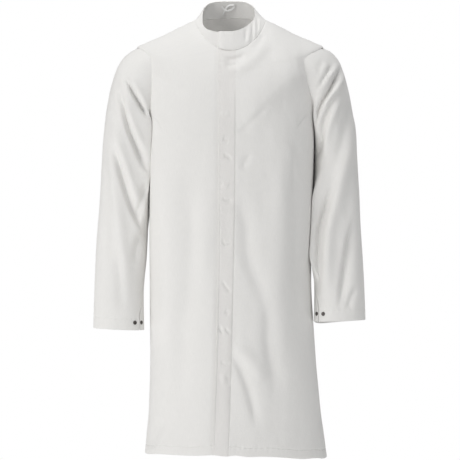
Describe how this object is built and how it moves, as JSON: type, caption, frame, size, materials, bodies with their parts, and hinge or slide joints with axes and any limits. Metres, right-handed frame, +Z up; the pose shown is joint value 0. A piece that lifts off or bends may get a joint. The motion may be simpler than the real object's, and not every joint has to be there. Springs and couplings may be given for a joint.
{
  "type": "long-sleeved work coat",
  "caption": "Long white work coat with a low stand collar, a covered front, set-in sleeves with slit snap cuffs, and side vents; hollow and open, as worn.",
  "frame": {"origin": "midway between the two sides of the neck, 6 mm above the neck seam at the shoulders, where the wearer's shoulders carry the coat", "axes": "+X towards the wearer's left, -Y the front, +Z up along the body"},
  "size_m": [0.6484, 0.2598, 1.1008],
  "materials": {
    "white_twill": "matt off-white polyester and cotton twill",
    "white_tape": "matt white woven tape",
    "dark_snap_metal": "dark burnished"
  },
  "bodies": {
    "root": {"front_left": "white_twill", "front_right": "white_twill", "placket": "white_twill", "back": "white_twill", "collar": "white_twill", "sleeve_left": "white_twill", "sleeve_right": "white_twill", "hanger_loop": "white_tape", "snap_cap_left": "dark_snap_metal", "snap_cap_right": "dark_snap_metal", "snap_stud_left": "dark_snap_metal", "snap_stud_right": "dark_snap_metal"}
  },
  "joints": []
}
